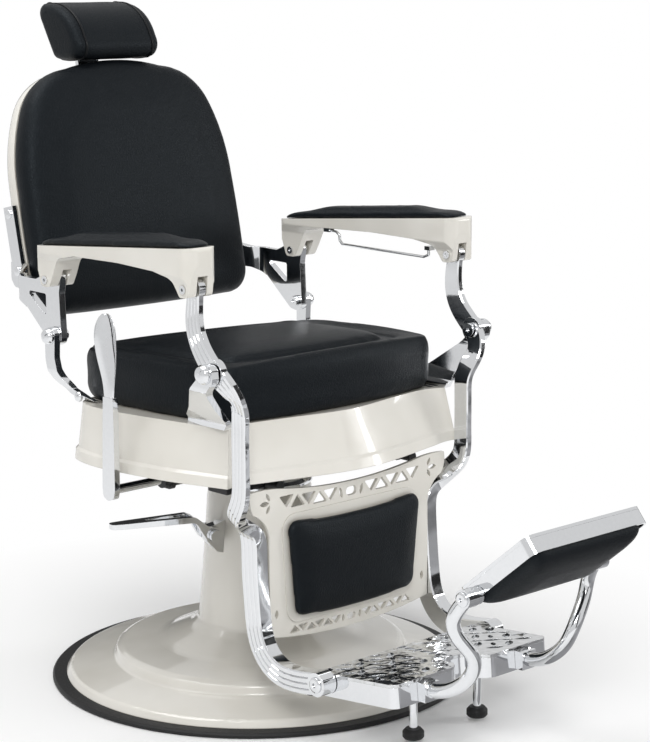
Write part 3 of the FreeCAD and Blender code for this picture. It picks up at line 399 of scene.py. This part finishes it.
def blown_up(cover, pinned, pressure):
    """Mesh of the cover after it has run as leather cloth under inner pressure, sewn down where pinned."""
    group = cover.vertex_groups.new(name="sewn")
    group.add([int(i) for i in np.nonzero(pinned)[0]], 1.0, "REPLACE")
    cloth = cover.modifiers.new("cloth", "CLOTH")
    leather = cloth.settings
    leather.vertex_group_mass = "sewn"
    leather.quality = 4
    leather.mass = 0.35
    leather.tension_stiffness = 30
    leather.compression_stiffness = 30
    leather.shear_stiffness = 12
    leather.bending_stiffness = 8
    leather.air_damping = 2.0
    leather.use_pressure = True
    leather.uniform_pressure_force = pressure
    leather.effector_weights.gravity = 0
    cloth.collision_settings.use_collision = False
    cloth.point_cache.frame_start = 1
    cloth.point_cache.frame_end = CLOTH_STEPS
    for moment in range(1, CLOTH_STEPS + 1):
        bpy.context.scene.frame_set(moment)
    mesh = frozen(cover)
    cover.modifiers.clear()
    cover.vertex_groups.clear()
    return mesh


def swollen(cover, pinned, pressure, limit):
    """Blows the cover up, then keeps its outward swell under a limit, with a trace of its wrinkles."""
    start = places(cover.data)
    outward = directions(cover.data)
    mesh = blown_up(cover, pinned, pressure)
    raw = ((places(mesh) - start) * outward).sum(1)
    rise = limit * np.tanh(softened(mesh, np.maximum(raw, 0.0), pinned, 24) / limit)
    crease = np.clip(0.3 * (raw - softened(mesh, raw, pinned, 8)), -WRINKLE, WRINKLE)
    cover.data = mesh
    moved_to(mesh, start + outward * (rise + np.where(pinned, 0.0, crease))[:, None])
    bpy.context.scene.frame_set(1)


def sewn_line(cover, distance, width, depth):
    """Draws the leather in along a seam, where distance from the seam is near zero."""
    points = places(cover.data)
    fall = np.exp(-(distance(points) / width) ** 2)
    moved_to(cover.data, points - directions(cover.data) * (fall * depth)[:, None])


def loop_at(node, axis, value):
    """Ordered points where a level plane cuts a solid."""
    cut = bmesh.new()
    cut.from_mesh(cad_nodes[node].data)
    bmesh.ops.remove_doubles(cut, verts=cut.verts, dist=0.00002)
    point, normal = [0.0] * 3, [0.0] * 3
    point[axis], normal[axis] = value, 1.0
    everything = cut.verts[:] + cut.edges[:] + cut.faces[:]
    found = bmesh.ops.bisect_plane(cut, geom=everything, plane_co=point, plane_no=normal)
    edges = [e for e in found["geom_cut"] if isinstance(e, bmesh.types.BMEdge)]
    links = {}
    for edge in edges:
        a, b = edge.verts
        links.setdefault(a, []).append(b)
        links.setdefault(b, []).append(a)
    first = here = edges[0].verts[0]
    before, line = None, []
    while True:
        line.append(here.co.copy())
        ahead = [v for v in links[here] if v is not before]
        before, here = here, ahead[0]
        if here is first or len(line) > len(links):
            break
    cut.free()
    return line


def evened(line, step):
    """The same closed line with points a fixed step apart."""
    points = np.array(line + line[:1])
    run = np.concatenate([[0], np.cumsum(np.linalg.norm(np.diff(points, axis=0), axis=1))])
    count = max(12, int(run[-1] / step))
    at = np.linspace(0, run[-1], count, endpoint=False)
    return np.stack([np.interp(at, run, points[:, k]) for k in range(3)], 1)


def welt(name, line, r, body):
    """Piping: a cord wrapped in leather that follows a seam."""
    curve = bpy.data.curves.new(name, "CURVE")
    curve.dimensions = "3D"
    curve.bevel_depth = r
    curve.bevel_resolution = 3
    curve.resolution_u = 2
    spline = curve.splines.new("NURBS")
    spline.points.add(len(line) - 1)
    for point, place in zip(spline.points, line):
        point.co = (*place, 1.0)
    spline.order_u = 3
    spline.use_cyclic_u = True
    draft = bpy.data.objects.new(name + "_draft", curve)
    bpy.context.scene.collection.objects.link(draft)
    mesh = frozen(draft)
    bpy.data.objects.remove(draft)
    mesh.shade_smooth()
    shown(name, mesh, body, PIPING)


def grown(line, amount, plane):
    """A closed flat line moved outwards in its own plane."""
    points = np.array(line)
    a, b = plane
    centre = points.mean(0)
    ahead = np.roll(points, -1, 0) - np.roll(points, 1, 0)
    normal = np.zeros_like(points)
    normal[:, a], normal[:, b] = ahead[:, b], -ahead[:, a]
    normal /= np.linalg.norm(normal, axis=1, keepdims=True)
    if ((points - centre) * normal).sum() < 0:
        normal = -normal
    return points + normal * amount


def above_seat_seam(p):
    """Height above the sewn edge between the seat's side band and its top panel."""
    return p[:, 2] - SEAT_SEAM_Z + SEAT_LEAN * (p[:, 1] - SEAT_SEAM_Y)


def seat_seam(p):
    """Distance from the seam between side band and top panel, which fades out across the front."""
    return np.hypot(above_seat_seam(p), 0.006 * np.clip((SEAT_SEAM_Y - p[:, 1]) / 0.030, 0.0, 1.0))


def crowned(mesh, points):
    """Rise at each point that evens the seat's top panel into one soft crown inside its rolled edge."""
    inside = np.minimum(SEAT_SIDE_X - np.abs(points[:, 0]), SEAT_HALF_Y - np.abs(points[:, 1] - SEAT_MID_Y))
    part = np.clip((inside - 0.010) / 0.030, 0.0, 1.0)
    rise = np.maximum(above_seat_seam(points), 0.0)
    even = softened(mesh, rise, rise < 0.0005, 300)
    return part * part * (3.0 - 2.0 * part) * (1.08 * even - rise)


def settled(points):
    """Uneven set of the used cushion: its rear stands a little high on the right, low on the left."""
    top = np.clip((points[:, 2] - 0.500) / 0.055, 0.0, 1.0)
    rear = np.clip((points[:, 1] + 0.190) / 0.360, 0.0, 1.0)
    return top * (0.003 * (1.0 - rear) - 0.0075 * rear * points[:, 0] / 0.240)


def seat_cover():
    def held(p):
        return (p[:, 2] < 0.480) | (seat_seam(p) < 0.0035)

    cover = upholstered("seat_cover", "seat_cushion", "seat", held,
                        voxel=0.006, shrink=0.0008, pressure=2.5, limit=0.005)
    sewn_line(cover, seat_seam, 0.0018, 0.0018)
    points = places(cover.data)
    lowered = 0.0036 * np.clip((SEAT_LEDGE_Z - points[:, 2]) / 0.014, 0.0, 1.0)
    points[:, 2] += crowned(cover.data, points) + settled(points) - lowered
    moved_to(cover.data, points)


def back_cover():
    upholstered("back_cover", "back_cushion", "back", lambda p: back_depth(p) > BACK_SEAM_DEPTH,
                voxel=0.006, shrink=0.0006, pressure=1.6, limit=0.007)


def head_cover():
    def held(p):
        at_welt = np.abs(np.abs(p[:, 0]) - WELT_X) < 0.003
        return at_welt | (p[:, 1] * HEAD_BACK_WAY[0] + p[:, 2] * HEAD_BACK_WAY[1] > HEAD_BACK_AT)

    cover = upholstered("head_cover", "headrest_cushion", "headrest", held,
                        voxel=0.0045, shrink=0.0006, pressure=4.0, limit=0.006)
    sewn_line(cover, lambda p: np.abs(p[:, 0]) - WELT_X, WELT_R, 0.0015)
    for side, name in ((-1, "head_piping_right"), (1, "head_piping_left")):
        line = evened(grown(loop_at("headrest_cushion", 0, side * WELT_X), -0.0012, (1, 2)).tolist(), 0.006)
        welt(name, line, WELT_R, "headrest")


def arm_cover(side, body):
    def held(p):
        return p[:, 2] - (ARM_TOP - ARM_SLOPE * p[:, 1]) < 0.003

    upholstered("arm_cover_" + side, "arm_pad_" + side, body, held,
                voxel=0.0035, shrink=0.0008, pressure=4.0, limit=0.004)


def leg_cover():
    upholstered("leg_cover", "leg_pad", "leg_frame", lambda p: p[:, 1] > LEG_PAD_BACK_Y,
                voxel=0.005, shrink=0.001, pressure=4.0, limit=0.006)


def kick_cover():
    def held(p):
        y = p[:, 1] - KICK_PIN_Y
        z = p[:, 2] - KICK_PIN_Z
        return KICK_PIN_DEPTH - y * math.sin(KICK_RISE) - z * math.cos(KICK_RISE) < KICK_SEAM_DEPTH

    upholstered("kick_cover", "kick_pad", "kick_plate", held,
                voxel=0.005, shrink=0.001, pressure=4.0, limit=0.007)


# Studio

def flat_mesh(name, half_x, half_y):
    mesh = bpy.data.meshes.new(name)
    corners = [(-half_x, -half_y, 0), (half_x, -half_y, 0), (half_x, half_y, 0), (-half_x, half_y, 0)]
    mesh.from_pydata(corners, [], [(0, 1, 2, 3)])
    return mesh


def aimed(thing, centre, facing, front):
    """Puts a thing at its centre, with its front axis towards the point that it faces."""
    thing.location = centre
    thing.rotation_euler = (Vector(facing) - Vector(centre)).to_track_quat(front, "Y").to_euler()


def card(name, centre, facing, size, finish):
    """Flat board that only the chair's reflections see."""
    board = shown(name, flat_mesh(name, size[0] / 2, size[1] / 2), None, finish)
    aimed(board, centre, facing, "Z")
    board.visible_camera = False
    board.visible_diffuse = False
    board.visible_shadow = False


def lamp(name, centre, facing, size, power):
    light = bpy.data.lights.new(name, "AREA")
    light.shape = "RECTANGLE"
    light.size, light.size_y = size
    light.energy = power
    thing = bpy.data.objects.new(name, light)
    bpy.context.scene.collection.objects.link(thing)
    aimed(thing, centre, facing, "-Z")


def pale_world():
    """Plain light on the chair, pure white behind it, and something between in its metal."""
    world = bpy.data.worlds.new("studio")
    bpy.context.scene.world = world
    w = Finish("studio", world)
    strength = (w.rays("Camera") + w.rays("Transmission")) * 0.54 + w.rays("Glossy") * 0.27 + 0.46
    back = w.node("ShaderNodeBackground", {}, {"Color": (1, 1, 1, 1), "Strength": strength})
    w.node("ShaderNodeOutputWorld", {}, {"Surface": back})


def studio():
    floor = shown("floor", flat_mesh("floor", 30, 30), None, studio_floor())
    floor.location.z = -FLOOR_GAP
    dark = plain_card("dark_card", 0.012, 0.020)
    grey = plain_card("grey_board", 0.10, 0.42)
    middle = (0, 0, 0.7)
    card("board_below", (1.5, -1.9, 0.003), (1.5, -1.9, 1.0), (3.0, 2.8), grey)
    card("card_right", (1.7, -2.0, 0.8), middle, (0.8, 1.9), dark)
    card("card_front", (-0.6, -3.4, 1.1), middle, (0.7, 2.4), dark)
    card("card_far_side", (3.1, 0.6, 0.9), middle, (1.0, 2.4), dark)
    card("card_rear", (1.5, 3.0, 0.9), middle, (1.6, 2.0), dark)
    card("card_side", (-2.9, 1.5, 0.5), (0, 0, 0.6), (0.3, 1.2), dark)
    lamp("key", (-2.2, -2.6, 2.6), (0, -0.1, 0.5), (1.4, 1.4), 54)
    lamp("fill", (2.9, -2.6, 1.4), (0, -0.1, 0.6), (1.0, 1.4), 34)
    lamp("top", (-0.9, 0.6, 3.3), (0, 0, 0.4), (2.0, 2.0), 48)
    pale_world()


def camera():
    """Camera solved from the photograph."""
    lens = bpy.data.cameras.new("camera")
    lens.sensor_width = 36
    lens.lens = 104.91
    lens.shift_x = -0.0765
    lens.shift_y = -0.0293
    lens.clip_end = 100
    thing = bpy.data.objects.new("camera", lens)
    bpy.context.scene.collection.objects.link(thing)
    thing.location = (-2.274795, -2.6225661, 1.1580973)
    thing.rotation_euler = (math.pi / 2 - 0.1769, 0, -0.7724)
    bpy.context.scene.camera = thing


# The chair

def dress_solids():
    slots = {entry["node"]: entry["material_slot"] for entry in frame["record"]["subparts"]}
    openwork = cast_chrome()
    for node, solid in cad_nodes.items():
        finish = openwork if node == "footplate_tread" else FINISHES[slots[node]]
        solid.data.materials.clear()
        solid.data.materials.append(finish)


dress_solids()
seat_cover()
back_cover()
head_cover()
arm_cover("right", "arm_right")
arm_cover("left", "arm_left")
leg_cover()
kick_cover()
studio()
camera()

bpy.context.scene.view_settings.view_transform = "Standard"
bpy.context.view_layer.update()
